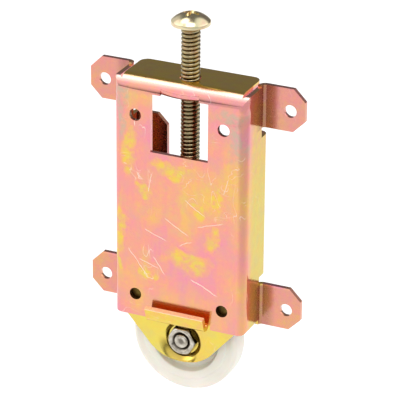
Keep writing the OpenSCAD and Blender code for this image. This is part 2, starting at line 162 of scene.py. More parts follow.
class Shader:
    """One material's node tree, with short ways to add nodes to it."""

    def __init__(self, name, **fixed):
        self.material = bpy.data.materials.new(name)
        self.material.use_nodes = True
        self.tree = self.material.node_tree
        self.bsdf = self.tree.nodes["Principled BSDF"]
        for key, value in fixed.items():
            self.bsdf.inputs[key.replace("_", " ")].default_value = value
        self.place = self.node("ShaderNodeTexCoord").outputs["Object"]
        self.mm = self.vector("SCALE", self.place, scale=1 / MM)

    def node(self, kind, **settings):
        made = self.tree.nodes.new(kind)
        for key, value in settings.items():
            setattr(made, key, value)
        return made

    def feed(self, socket, value):
        if isinstance(value, bpy.types.NodeSocket):
            self.tree.links.new(value, socket)
        else:
            socket.default_value = value

    def math(self, operation, a, b=0.0, clamp=False):
        made = self.node("ShaderNodeMath", operation=operation, use_clamp=clamp)
        self.feed(made.inputs[0], a)
        self.feed(made.inputs[1], b)
        return made.outputs[0]

    def vector(self, operation, a, b=(0, 0, 0), scale=1.0):
        made = self.node("ShaderNodeVectorMath", operation=operation)
        self.feed(made.inputs[0], a)
        if operation == "SCALE":
            made.inputs[3].default_value = scale
        else:
            self.feed(made.inputs[1], b)
        return made.outputs[1 if operation in ("LENGTH", "DISTANCE", "DOT_PRODUCT") else 0]

    def smooth(self, value, low, high, to_low=0.0, to_high=1.0):
        made = self.node("ShaderNodeMapRange", interpolation_type="SMOOTHSTEP")
        self.feed(made.inputs["Value"], value)
        for key, number in zip(RANGE_ENDS, (low, high, to_low, to_high)):
            made.inputs[key].default_value = number
        return made.outputs["Result"]

    def noise(self, where, scale, detail=2.0, distortion=0.0, stretch=None):
        """Noise over a place in mm; scale is features per mm."""
        if stretch:
            where = self.vector("MULTIPLY", where, stretch)
        made = self.node("ShaderNodeTexNoise")
        self.feed(made.inputs["Vector"], where)
        made.inputs["Scale"].default_value = scale
        made.inputs["Detail"].default_value = detail
        made.inputs["Distortion"].default_value = distortion
        return made.outputs["Fac"]

    def ramp(self, value, stops):
        made = self.node("ShaderNodeValToRGB")
        band = made.color_ramp
        while len(band.elements) < len(stops):
            band.elements.new(0.5)
        for element, (position, colour) in zip(band.elements, stops):
            element.position = position
            element.color = colour
        self.feed(made.inputs["Fac"], value)
        return made.outputs["Color"]

    def blend(self, share, a, b):
        made = self.node("ShaderNodeMix", data_type="RGBA")
        self.feed(made.inputs[0], share)
        self.feed(made.inputs[6], a)
        self.feed(made.inputs[7], b)
        return made.outputs[2]

    def split(self, value):
        made = self.node("ShaderNodeSeparateXYZ")
        self.feed(made.inputs[0], value)
        return made.outputs[0], made.outputs[1], made.outputs[2]

    def off_axis(self, point, across):
        """Distance in mm from an axis through a point; across is 1 where it counts and 0 along it."""
        away = self.vector("SUBTRACT", self.mm, point)
        return self.vector("LENGTH", self.vector("MULTIPLY", away, across))

    def bump(self, height, depth_mm):
        made = self.node("ShaderNodeBump")
        made.inputs["Strength"].default_value = 1.0
        made.inputs["Distance"].default_value = depth_mm * MM
        self.feed(made.inputs["Height"], height)
        if self.bsdf.inputs["Normal"].is_linked:
            self.feed(made.inputs["Normal"], self.bsdf.inputs["Normal"].links[0].from_socket)
        self.feed(self.bsdf.inputs["Normal"], made.outputs["Normal"])

    def set(self, key, value):
        self.feed(self.bsdf.inputs[key], value)


# ---------- materials ----------

PINK = srgb(230, 142, 162)
SALMON = srgb(234, 158, 136)
PEACH = srgb(233, 174, 116)
YELLOW = srgb(230, 194, 88)
LIME = srgb(224, 206, 92)
FILM = [(0.0, PINK), (0.3, SALMON), (0.5, PEACH), (0.74, YELLOW), (1.0, LIME)]
# bare metal in scratch marks, and the cream of the painted highlights on the housing
BARE_AND_HIGHLIGHT = srgb(250, 224, 206)
# brown of the painted shade inside the housing, in its holes, beside the ears and round the nut
SHADE_BROWN = srgb(64, 50, 28)
# grey of dull or thinned film, also painted as the reflection in the plate's bends
WEAR_AND_REFLECTION_GREY = srgb(186, 176, 152)
SCREW_TONES = [(0.0, srgb(214, 168, 146)), (0.4, srgb(214, 194, 152)), (1.0, srgb(188, 190, 148))]
SCREW_SHEEN = srgb(255, 246, 214)
SCREW_SHADE = srgb(96, 84, 62)
SCREW_GROOVE_SHADE = srgb(58, 44, 32)
STEEL_TONES = [(0.3, srgb(150, 142, 128)), (0.55, srgb(196, 189, 176)), (0.7, srgb(214, 208, 196))]
# painted shade for the nut's sides and the ring at its mouth
STEEL_SHADE = srgb(62, 52, 42)
NYLON_TONES = [(0.3, srgb(228, 223, 210)), (0.7, srgb(236, 232, 221))]


class Film(Shader):
    """Yellow chromate on zinc: a thin film whose thickness wanders, so its colour does too."""

    def __init__(self, name, **fixed):
        super().__init__(name, Metallic=1.0, **fixed)
        drift = self.node("ShaderNodeTexNoise")
        self.feed(drift.inputs["Vector"], self.mm)
        drift.inputs["Scale"].default_value = 0.14
        drift.inputs["Detail"].default_value = 3.0
        off = self.vector("SUBTRACT", drift.outputs["Color"], (0.5, 0.5, 0.5))
        self.drifted = self.vector("ADD", self.mm, self.vector("SCALE", off, scale=9.0))
        wobble = self.noise(self.mm, 0.5, detail=2.0)
        self.x, self.y, self.z = self.split(self.mm)
        self.wobble = self.math("SUBTRACT", wobble, 0.5)

    def blot(self, centre, size):
        """1 at a place on the plate, given as X and Z in mm, falling to 0 at an edge that wanders."""
        away = self.vector("SUBTRACT", self.drifted, (centre[0], 0, centre[1]))
        away = self.vector("MULTIPLY", away, (1 / size[0], 0, 1 / size[1]))
        return self.smooth(self.vector("LENGTH", away), 0.35, 1.25, 1.0, 0.0)

    def stroke(self, start, end, width):
        """A scratch between two places on the plate, each given as X and Z in mm."""
        ax, az = start
        dx, dz = end[0] - ax, end[1] - az
        long = math.hypot(dx, dz)
        dx, dz = dx / long, dz / long
        from_start = self.vector("SUBTRACT", self.mm, (ax, 0, az))
        along = self.vector("DOT_PRODUCT", from_start, (dx, 0, dz))
        across = self.vector("DOT_PRODUCT", from_start, (-dz, 0, dx))
        across = self.math("ADD", across, self.math("MULTIPLY", self.wobble, 0.7))
        line = self.smooth(self.math("ABSOLUTE", across), width * 0.3, width, 1.0, 0.0)
        inside = self.smooth(along, long - 1.5, long, 1.0, 0.0)
        inside = self.math("MULTIPLY", self.smooth(along, 0.0, 0.8), inside)
        return self.math("MULTIPLY", line, inside)

    def punched(self, radius):
        """1 on the walls of the plate's four locating holes."""
        folded = self.node("ShaderNodeCombineXYZ")
        self.feed(folded.inputs[0], self.math("SUBTRACT", self.math("ABSOLUTE", self.x), HOLE_X))
        off_middle = self.math("ABSOLUTE", self.math("SUBTRACT", self.z, HOLES_MIDDLE_Z))
        self.feed(folded.inputs[2], self.math("SUBTRACT", off_middle, HOLE_Z))
        return self.smooth(self.vector("LENGTH", folded.outputs[0]), radius, radius + 0.15, 1.0, 0.0)

    def hairlines(self, scale, width, stretch, mask_scale, share):
        """Fine broken scratches: contour lines of a stretched noise, kept in patches."""
        field = self.noise(self.mm, scale, detail=1.5, distortion=0.5, stretch=stretch)
        off = self.math("ABSOLUTE", self.math("SUBTRACT", field, 0.5))
        line = self.smooth(off, 0.0, width, 1.0, 0.0)
        kept = self.smooth(self.noise(self.mm, mask_scale, detail=2.0), share, share + 0.1)
        return self.math("MULTIPLY", line, kept)

    def lay(self, film, bright_marks, roughness, wear_and_reflection=0.0, painted_shade=0.0):
        """Sets the colour from the film's thickness, and the gloss and relief of the sheet."""
        speckle = self.noise(self.mm, 1.3, detail=4.0)
        film = self.math("ADD", film, self.math("MULTIPLY", self.math("SUBTRACT", speckle, 0.5), 0.35))
        colour = self.ramp(film, FILM)
        dull = self.smooth(self.noise(self.mm, 0.33, detail=3.0), 0.35, 0.75, 0.0, 0.2)
        # grey where the film is dull or thin from wear, and where the bends' reflection is painted
        colour = self.blend(self.math("MAXIMUM", dull, wear_and_reflection), colour, WEAR_AND_REFLECTION_GREY)
        # painted shade: the colour darkens towards brown where the shade mask is high
        colour = self.blend(painted_shade, colour, SHADE_BROWN)
        # bright marks: scratch marks to bare metal, and on the housing also painted highlights
        bright_share = self.math("MULTIPLY", bright_marks, 0.8, clamp=True)
        self.set("Base Color", self.blend(bright_share, colour, BARE_AND_HIGHLIGHT))
        grain = self.noise(self.mm, 2.2, detail=4.0)
        rough = self.smooth(grain, 0.3, 0.7, roughness - 0.03, roughness + 0.05)
        marked = self.math("MULTIPLY", painted_shade, 0.25)
        marked = self.math("ADD", self.math("MULTIPLY", bright_marks, 0.2), marked)
        self.set("Roughness", self.math("ADD", rough, marked))
        self.bump(self.noise(self.mm, 0.09, detail=1.0), 0.12)
        self.bump(self.noise(self.mm, 0.9, detail=3.0), 0.004)
        self.bump(bright_marks, -0.008)


# Places on the plate, as X and Z in mm. A blot or a dent has a centre and a size each way, and
# a scratch has its two ends and its width.
YELLOW_BLOTS = [
    ((-13.5, 13), (3.4, 9)), ((-1, 10), (8, 2.8)), ((4.5, 1.5), (3.4, 5)), ((2, -14), (8, 3.4)),
    ((-16, -12), (1.6, 17)), ((-9, -19), (4, 2.8)), ((9, -7), (3, 5)), ((-9, 3), (3, 2)),
    ((11, 5), (3, 4)),
]
# grey at the upper corners and side bends: wear, with a painted reflection of the bends
WEAR_AND_REFLECTION_BLOTS = [
    ((-15.5, 28.5), (3.4, 2.2)), ((13.5, 27.8), (5, 2.2)), ((15.5, 20), (2.6, 7)),
    ((-16.2, 22), (1.2, 7)),
]
DENTS = [((-15.8, 28.2), (2.6, 2.4)), ((15.6, 27.6), (3, 2.6))]
SCRATCHES = [
    ((3.2, -18.4), (11, -21.9), 0.2), ((-7, -14), (-3.5, -19), 0.16), ((-11, -15.5), (-5, -17.5), 0.14),
    ((-4, -3), (3, -7), 0.14), ((-9.5, -7), (-3, -9.5), 0.14), ((1.5, 3), (7.5, -1), 0.13),
    ((5, -4), (12.5, -1.5), 0.13), ((-12, 20), (-12.4, 25), 0.14), ((-8.4, 3), (-7.2, 9), 0.13),
    ((-14, -13), (-8, -20.5), 0.14), ((12, 6), (13.5, 11), 0.12), ((0, -10), (4, -8), 0.13),
]


def housing_film(s, wide, wall, ear_rows, lip):
    """How thick the film is over the housing, from 0 for pink to 1 for lime."""
    streaks = s.noise(s.mm, 0.35, detail=3.0, stretch=(1.0, 1.0, 0.16))
    patchy = s.smooth(s.noise(s.mm, 0.6, detail=4.0), 0.3, 0.7, 0.6, 1.15)
    film = s.math("ADD", s.math("MULTIPLY", s.noise(s.drifted, 0.06, detail=2.0), 1.5), -0.43)
    for centre, size in YELLOW_BLOTS:
        blot = s.math("MULTIPLY", s.math("MULTIPLY", s.blot(centre, size), 0.7), patchy)
        film = s.math("MAXIMUM", film, blot)
    film = s.math("ADD", film, s.math("MULTIPLY", s.math("SUBTRACT", streaks, 0.5), 0.45))
    # the side walls took a thicker, yellower film, most of it low down
    ochre = s.smooth(s.z, -2, 24, 0.9, 0.62)
    film = s.blend(wall, film, s.math("ADD", ochre, s.math("MULTIPLY", s.wobble, 0.5)))
    # the ears are pinker than the walls
    ears = s.smooth(s.y, EAR_FACE_Y - 2.6, EAR_FACE_Y - 1.6)
    ears = s.math("MULTIPLY", s.smooth(wide, 17.7, 18.0), ears)
    ears = s.math("MULTIPLY", s.math("MAXIMUM", ears, s.smooth(wide, 18.2, 18.6)), ear_rows)
    ear_film = s.math("ADD", s.math("MULTIPLY", s.wobble, 0.5), 0.3)
    film = s.blend(s.math("MULTIPLY", ears, 0.7), film, ear_film)
    # so is the bend under the top, while the lip and the top itself are yellower
    band = s.smooth(s.z, TOP_Z - 4.6, TOP_Z - 2.6, 0.0, 0.6)
    band = s.math("MULTIPLY", band, s.smooth(wide, 16.0, 18.0, 1.0, 0.4))
    film = s.blend(band, film, s.math("ADD", s.math("MULTIPLY", s.wobble, 0.5), 0.08))
    film = s.blend(lip, film, s.math("ADD", s.math("MULTIPLY", s.wobble, 0.7), 0.76))
    above = s.smooth(s.y, PLATE_FACE_Y + 0.85, PLATE_FACE_Y + 2.85)
    above = s.math("MULTIPLY", s.smooth(s.z, TOP_Z - 0.9, TOP_Z - 0.2), above)
    above = s.math("MULTIPLY", above, s.smooth(wide, 16.1, 16.6, 1.0, 0.0))
    return s.blend(above, film, s.math("ADD", s.math("MULTIPLY", s.wobble, 0.3), 0.72))


def housing_wear_and_reflection(s, front):
    """Grey at the plate's upper corners and down its side bends: film thin from wear, with a painted grey
    reflection of the bends.
    """
    wear_and_reflection = 0.0
    for centre, size in WEAR_AND_REFLECTION_BLOTS:
        wear_and_reflection = s.math("MAXIMUM", wear_and_reflection, s.blot(centre, size))
    mottle = s.smooth(s.noise(s.mm, 0.7, detail=4.0), 0.3, 0.6, 0.2, 0.75)
    return s.math("MULTIPLY", s.math("MULTIPLY", wear_and_reflection, front), mottle)


def housing_scratches_and_highlights(s, front, lip):
    """Hairlines all over and single strokes on the plate, a painted highlight along the top bend, where
    the film is also thin from wear, and a painted highlight on the lip's top edge.
    """
    bright_marks = s.hairlines(0.2, 0.006, (1.0, 1.0, 0.45), 0.09, 0.53)
    bright_marks = s.math("MAXIMUM", bright_marks, s.hairlines(0.3, 0.007, (0.5, 1.0, 1.0), 0.11, 0.55))
    fewer = s.smooth(s.y, PLATE_FACE_Y + 0.75, PLATE_FACE_Y + 1.25, 1.0, 0.25)
    bright_marks = s.math("MULTIPLY", bright_marks, fewer)
    for start, end, width in SCRATCHES:
        stroke = s.math("MULTIPLY", s.stroke(start, end, width), front)
        bright_marks = s.math("MAXIMUM", bright_marks, stroke)
    # painted highlight: a cream line along the top bend, where the film is also thin from wear
    top_bend_wear_and_highlight = s.smooth(s.y, PLATE_FACE_Y + 1.85, PLATE_FACE_Y + 2.65, 0.6, 0.0)
    top_bend_wear_and_highlight = s.math("MULTIPLY", s.smooth(s.z, TOP_Z - 1.8, TOP_Z - 0.9), top_bend_wear_and_highlight)
    bright_marks = s.math("MAXIMUM", bright_marks, top_bend_wear_and_highlight)
    # painted highlight: a cream line along the lip's top edge
    lip_edge_highlight = s.math("MULTIPLY", lip, s.smooth(s.z, LIP_TOP_Z - 0.35, LIP_TOP_Z - 0.1, 0.0, 0.8))
    return s.math("MAXIMUM", bright_marks, lip_edge_highlight)


def housing_painted_shade(s, wide, wall, ear_rows):
    """Painted shade inside the housing, on the walls of the four holes and beside the ears' roots, and a
    light darkening over the side walls.
    """
    inside = s.smooth(s.y, PLATE_FACE_Y + 1.15, PLATE_FACE_Y + 1.3)
    inside = s.math("MULTIPLY", s.smooth(wide, 16.5, 16.75, 0.4, 0.0), inside)
    inside = s.math("MULTIPLY", inside, s.smooth(s.z, TOP_Z - 1.4, TOP_Z - 1.1, 1.0, 0.0))
    holes = s.smooth(s.y, PLATE_FACE_Y + 0.05, PLATE_FACE_Y + 0.25, 0.0, 0.8)
    holes = s.math("MULTIPLY", s.punched(HOLE_R + 0.1), holes)
    beside = s.math("MULTIPLY", s.smooth(wide, 17.7, 18.0), s.smooth(wide, 19.6, 22.5, 1.0, 0.3))
    beside = s.math("MULTIPLY", beside, s.smooth(s.y, EAR_FACE_Y - 5.5, EAR_FACE_Y - 2.0))
    beside = s.math("MULTIPLY", s.math("MULTIPLY", beside, ear_rows), 0.4)
    beside = s.math("MAXIMUM", beside, s.math("MULTIPLY", wall, 0.12))
    return s.math("MAXIMUM", s.math("MAXIMUM", inside, holes), beside)


def housing_relief(s, wide, front):
    """A soft crease under the top bend, which arches over the tongue, and a dent in each corner."""
    arch = s.smooth(wide, 1.0, 7.5, 1.7, 0.0)
    off = s.math("ABSOLUTE", s.math("SUBTRACT", s.z, s.math("ADD", arch, TOP_Z - 5.5)))
    s.bump(s.math("MULTIPLY", s.smooth(off, 0.0, 2.8, 1.0, 0.0), front), -0.08)
    dent = 0.0
    for centre, size in DENTS:
        dent = s.math("MAXIMUM", dent, s.blot(centre, size))
    s.bump(s.math("MULTIPLY", dent, front), -0.07)


def zinc_housing():
    s = Film("yellow_zinc_housing")
    wide = s.math("ABSOLUTE", s.x)
    front = s.smooth(s.y, PLATE_FACE_Y + 1.85, PLATE_FACE_Y + 2.65, 1.0, 0.0)
    lip = s.smooth(s.y, PLATE_FACE_Y - 0.5, PLATE_FACE_Y - 0.2, 1.0, 0.0)
    # the side walls, away from the front bend
    wall = s.math("MULTIPLY", s.smooth(wide, 16.9, 17.7), s.smooth(wide, 18.3, 18.9, 1.0, 0.0))
    wall = s.math("MULTIPLY", wall, s.smooth(s.y, PLATE_FACE_Y + 1.35, PLATE_FACE_Y + 5.75))
    ear_rows = s.smooth(s.math("ABSOLUTE", s.z), 21.0, 21.6)
    film = housing_film(s, wide, wall, ear_rows, lip)
    wear_and_reflection = housing_wear_and_reflection(s, front)
    painted_shade = housing_painted_shade(s, wide, wall, ear_rows)
    s.lay(film, housing_scratches_and_highlights(s, front, lip), 0.14, wear_and_reflection, painted_shade)
    housing_relief(s, wide, front)
    return s.material


def zinc_carriage():
    s = Film("yellow_zinc_carriage")
    film = s.math("ADD", s.math("MULTIPLY", s.noise(s.drifted, 0.08, detail=2.0), 0.8), 0.5)
    # painted shade: the leaf darkens, with a mottle, where it runs up behind the housing's plate
    shade_behind_plate = s.smooth(s.noise(s.mm, 0.3), 0.2, 0.6, 0.75, 0.95)
    shade_behind_plate = s.math("MULTIPLY", s.smooth(s.z, -31.5, -28.5), shade_behind_plate)
    shade_behind_plate = s.math("MULTIPLY", shade_behind_plate, s.smooth(s.y, AXLE_Y - 2.0, AXLE_Y, 1.0, 0.0))
    around = s.off_axis((0, 0, AXLE_Z), (1, 0, 1))
    # painted shade: brown on the dish round the nut, to its lower left only
    below = s.vector("DOT_PRODUCT", s.mm, (-0.6, 0, -0.8))
    below = s.smooth(s.math("ADD", below, 0.8 * AXLE_Z), 2.6, 4.6, 0.0, 0.4)
    dish_shade = s.math("MULTIPLY", s.smooth(around, 4.2, 6.6, 1.0, 0.0), below)
    bright_marks = s.hairlines(0.25, 0.006, (1.0, 1.0, 0.5), 0.12, 0.56)
    s.lay(film, bright_marks, 0.15, painted_shade=s.math("MAXIMUM", shade_behind_plate, dish_shade))
    return s.material


def zinc_screw():
    s = Film("yellow_zinc_screw")
    film = s.math("ADD", s.math("MULTIPLY", s.noise(s.mm, 0.4, detail=3.0), 1.8), -0.4)
    around = s.off_axis((0, SCREW_Y, 0), (1, 1, 0))
    shank = s.smooth(s.z, UNDER_HEAD_Z - 0.6, UNDER_HEAD_Z - 0.3, 1.0, 0.0)
    groove = s.math("MULTIPLY", s.smooth(around, THREAD_ROOT_R, THREAD_R - 0.22, 1.0, 0.0), shank)
    colour = s.ramp(film, SCREW_TONES)
    # painted sheen: the head is lightened towards cream
    on_head = s.math("SUBTRACT", 0.25, s.math("MULTIPLY", shank, 0.25))
    colour = s.blend(on_head, colour, SCREW_SHEEN)
    # painted shade: the shank is darkened by half
    on_shank = s.math("MULTIPLY", shank, s.smooth(s.z, 24, 40, 0.55, 0.5))
    colour = s.blend(on_shank, colour, SCREW_SHADE)
    # painted shade in the thread's grooves, with a mottle
    groove_shade = s.math("MULTIPLY", groove, s.smooth(s.noise(s.mm, 1.2, detail=2.0), 0.2, 0.7, 0.65, 0.98))
    s.set("Base Color", s.blend(groove_shade, colour, SCREW_GROOVE_SHADE))
    rough = s.smooth(s.noise(s.mm, 3.0), 0.3, 0.7, 0.13, 0.22)
    s.set("Roughness", s.math("ADD", rough, s.math("MULTIPLY", groove_shade, 0.15)))
    s.bump(s.noise(s.mm, 1.2, detail=3.0), 0.01)
    return s.material


def bright_zinc(name, roughness):
    s = Shader(name, Metallic=1.0)
    tone = s.noise(s.mm, 0.9, detail=3.0)
    colour = s.ramp(tone, STEEL_TONES)
    around = s.off_axis((0, 0, AXLE_Z), (1, 0, 1))
    # painted shade: a dark ring round the bolt's end, at the nut's mouth
    seam = s.math("MULTIPLY", s.smooth(around, 1.75, 1.95), s.smooth(around, 2.25, 2.5, 1.0, 0.0))
    depth = s.split(s.mm)[1]
    # painted shade on the nut's sides
    flank = s.smooth(depth, NUT_FACE_Y + 0.12, NUT_FACE_Y + 0.4, 0.0, 0.75)
    flank = s.math("MULTIPLY", flank, s.smooth(depth, AXLE_Y - 1, AXLE_Y + 1, 1.0, 0.0))
    shaded = s.math("MAXIMUM", s.math("MULTIPLY", seam, 0.85), flank)
    s.set("Base Color", s.blend(shaded, colour, STEEL_SHADE))
    grain = s.noise(s.mm, 3.0, detail=3.0)
    s.set("Roughness", s.smooth(grain, 0.3, 0.7, roughness - 0.04, roughness + 0.1))
    s.bump(s.noise(s.mm, 0.7, detail=2.0), 0.06)
    s.bump(s.noise(s.mm, 3.0, detail=3.0), 0.006)
    return s.material


def nylon():
    s = Shader("nylon", Metallic=0.0, IOR=1.53, Subsurface_Weight=0.3, Subsurface_Scale=1.5 * MM)
    tone = s.noise(s.mm, 0.12, detail=2.0)
    s.set("Base Color", s.ramp(tone, NYLON_TONES))
    s.set("Roughness", s.smooth(s.noise(s.mm, 1.2, detail=3.0), 0.3, 0.7, 0.34, 0.5))
    s.bump(s.noise(s.mm, 0.9, detail=3.0), 0.012)
    return s.material


# ---------- pieces ----------


def new_piece(name, bm, material, body, smooth_angle=35):
    mesh = bpy.data.meshes.new(name)
    bm.to_mesh(mesh)
    bm.free()
    piece = bpy.data.objects.new(name, mesh)
    bpy.context.scene.collection.objects.link(piece)
    mesh.materials.append(material)
    mesh.polygons.foreach_set("use_smooth", [True] * len(mesh.polygons))
    mesh.set_sharp_from_angle(angle=math.radians(smooth_angle))
    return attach(piece, body)


def carve(piece, bm, rounding=0.0):
    """Cuts a solid out of a piece, and rounds the edges that this leaves."""
    bmesh.ops.recalc_face_normals(bm, faces=bm.faces)
    mesh = bpy.data.meshes.new("cutter")
    bm.to_mesh(mesh)
    bm.free()
    cutter = bpy.data.objects.new("cutter", mesh)
    bpy.context.scene.collection.objects.link(cutter)
    cut = piece.modifiers.new("cut", "BOOLEAN")
    cut.operation = "DIFFERENCE"
    cut.solver = "EXACT"
    cut.use_self = True
    cut.object = cutter
    if rounding:
        soft = piece.modifiers.new("soft_rim", "BEVEL")
        soft.width = rounding * MM
        soft.segments = 3
        soft.limit_method = "ANGLE"
        soft.angle_limit = math.radians(40)
    bpy.context.view_layer.update()
    evaluated = piece.evaluated_get(bpy.context.evaluated_depsgraph_get())
    done = bpy.data.meshes.new_from_object(evaluated)
    piece.modifiers.clear()
    piece.data = done
    done.set_sharp_from_angle(angle=math.radians(50 if rounding else 35))
    bpy.data.objects.remove(cutter)
    bpy.data.meshes.remove(mesh)


def rounded_copy(node, name, material, widths, reshape=None, cutter=None):
    """A copy of a CAD node with its sharp edges rounded, which stands for the node.

    widths lists (test of an edge's middle in mm, width in mm, segments), and the first whose
    test holds is used. reshape changes the copy first, and cutter makes a solid to cut out.
    """
    source = frame["nodes"][node]
    bm = bmesh.new()
    bm.from_mesh(source.data)
    bmesh.ops.remove_doubles(bm, verts=bm.verts, dist=0.003 * MM)
    bmesh.ops.dissolve_limit(bm, angle_limit=math.radians(0.5), verts=bm.verts, edges=bm.edges)
    if reshape:
        reshape(bm)
    groups = [[] for _ in widths]
    for edge in bm.edges:
        if len(edge.link_faces) == 2 and edge.calc_face_angle(0) > math.radians(32):
            mid = (edge.verts[0].co + edge.verts[1].co) / 2 / MM
            groups[next(i for i, (test, _, _) in enumerate(widths) if test(mid))].append(edge)
    for (_, width, segments), edges in zip(widths, groups):
        edges = [e for e in edges if e.is_valid]
        if edges:
            bmesh.ops.bevel(
                bm, geom=edges, offset=width * MM, offset_type="OFFSET", segments=segments,
                profile=0.5, affect="EDGES", clamp_overlap=True,
            )
    piece = new_piece(name, bm, material, source["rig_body"])
    if cutter:
        carve(piece, cutter())
    piece.modifiers.new("flat_faces", "WEIGHTED_NORMAL").keep_sharp = True
    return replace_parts(piece, node)


def belly_tongue(bm):
    """The tongue's bend is stretched metal: it bellies forward and down between its ends."""
    def inside(co):
        x, y, z = co / MM
        return abs(x) < FLAP_HALF + 0.02 and -11.3 < y < -8.8 and 28.7 < z < 30.9
    faces = [f for f in bm.faces if all(inside(v.co) for v in f.verts) and abs(f.normal.x) < 0.5]
    cuts = 14
    for k in range(1, cuts):
        geom = set(faces)
        for f in faces:
            geom.update(f.edges)
            geom.update(f.verts)
        cut_x = FLAP_HALF * (2 * k / cuts - 1) * MM
        made = bmesh.ops.bisect_plane(
            bm, geom=list(geom), dist=1e-7, plane_co=(cut_x, 0, 0), plane_no=(1, 0, 0)
        )
        new_faces = {g for g in made["geom"] if isinstance(g, bmesh.types.BMFace)}
        faces = [f for f in set(faces) | new_faces if f.is_valid]
    for v in {v for f in faces for v in f.verts}:
        belly = 1 - (v.co.x / MM / FLAP_HALF) ** 2
        front = min(1.0, max(0.0, (-8.9 - v.co.y / MM) / 1.4))
        v.co.y -= 0.55 * belly * front * MM
        v.co.z -= 0.25 * belly * front * MM


def off_axle(co):
    return math.hypot(co.x / MM, co.z / MM - AXLE_Z)


def countersink_nut(bm):
    """The nut's mouth is a wide cone round the bolt's end."""
    for v in bm.verts:
        if off_axle(v.co) < NUT_MOUTH_R and v.co.y / MM < NUT_FACE_Y + NUT_MOUTH_DEPTH:
            if v.co.y / MM < NUT_FACE_Y + 0.03:
                wider = NUT_MOUTH_R / off_axle(v.co)
                v.co.x *= wider
                v.co.z = (AXLE_Z + (v.co.z / MM - AXLE_Z) * wider) * MM
            else:
                v.co.y = (NUT_FACE_Y + NUT_MOUTH_DEPTH) * MM


def dimple_bolt(bm):
    """The bolt's end has a shallow turned cone in it."""
    end_y = min(v.co.y for v in bm.verts)
    ends = [f for f in bm.faces if all(v.co.y < end_y + 0.01 * MM for v in f.verts)]
    ends = bmesh.ops.dissolve_faces(bm, faces=ends)["region"] if len(ends) > 1 else ends
    for v in bmesh.ops.poke(bm, faces=ends)["verts"]:
        v.co.y += BOLT_DIMPLE * MM


def grid_faces(bm, rows):
    """Joins rings of vertices into a tube."""
    for low, high in zip(rows, rows[1:]):
        for i in range(len(low)):
            k = (i + 1) % len(low)
            bm.faces.new((low[i], low[k], high[k], high[i]))


def lathe(bm, outline, place, turns=96):
    """An outline of (radius, height) in mm, turned about an axis.

    place maps a point from the axis to the frame.
    """
    spokes = [(math.cos(TAU * i / turns), math.sin(TAU * i / turns)) for i in range(turns)]
    rows = [
        [bm.verts.new(place(radius * x, radius * y, height)) for x, y in spokes]
        for radius, height in outline
    ]
    grid_faces(bm, rows)
    return rows


def arc(cx, cy, radius, start, end, steps=8):
    """Points on an arc, its angles in degrees."""
    turn = [math.radians(start + (end - start) * i / steps) for i in range(steps + 1)]
    return [(cx + radius * math.cos(t), cy + radius * math.sin(t)) for t in turn]


# ---------- the adjusting screw ----------

# one turn of the rolled thread, as (share of the pitch, share of the depth)
THREAD = [
    (0.0, 0.0), (0.07, 0.1), (0.18, 0.62), (0.3, 0.93),
    (0.5, 1.0), (0.7, 0.93), (0.82, 0.62), (0.93, 0.1),
]


def about_screw(x, y, z):
    return Vector((x, SCREW_Y + y, z)) * MM


def make_screw(material):
    bm = bmesh.new()
    around = 56
    turns = int((UNDER_HEAD_Z - SHOULDER_Z) / PITCH) + 3
    foot, crown = SHOULDER_Z + 0.45, UNDER_HEAD_Z - 0.55
    rows = []
    for turn in range(-2, turns):
        for share, deep in THREAD:
            row = []
            for i in range(around):
                angle = TAU * i / around
                z = foot + (turn + share + i / around) * PITCH
                fade = min(1.0, max(0.0, (z - foot) / 0.5)) * min(1.0, max(0.0, (crown - z) / 0.9))
                root = THREAD_ROOT_R + (THREAD_R - THREAD_ROOT_R) * deep * fade
                z = min(max(z, foot), crown)
                x, y = root * math.cos(angle), root * math.sin(angle)
                row.append(bm.verts.new(about_screw(x, y, z)))
            rows.append(row)
    # each ring of the helix starts where the ring one turn below ends
    step = len(THREAD)
    for k in range(len(rows) - step):
        for i in range(around):
            low, high = rows[k], rows[k + 1]
            if i < around - 1:
                corners = (low[i], low[i + 1], high[i + 1], high[i])
            elif k + step + 1 < len(rows):
                corners = (low[i], rows[k + step][0], rows[k + step + 1][0], high[i])
            else:
                corners = (low[i], rows[k + step][0], high[i])
            bm.faces.new(corners)
    bmesh.ops.remove_doubles(bm, verts=bm.verts, dist=0.002 * MM)
    # the neck with its clip groove, and the collar that bears on the washer
    clip_low, clip_high = CLIP_GROOVE
    lathe(bm, [
        (0.01, screw_low.z), (NECK_R - 0.3, screw_low.z), (NECK_R, screw_low.z + 0.3), (NECK_R, clip_low),
        (CLIP_GROOVE_R, clip_low), (CLIP_GROOVE_R, clip_high), (NECK_R, clip_high), (NECK_R, SHOULDER_Z),
        (THREAD_R - 0.25, SHOULDER_Z), (THREAD_R - 0.02, SHOULDER_Z + 0.2), (THREAD_R - 0.02, foot),
        (THREAD_ROOT_R - 0.05, foot + 0.2), (THREAD_ROOT_R - 0.05, crown),
    ], about_screw, 64)
    return new_piece("screw_shank", bm, material, "screw", smooth_angle=50)


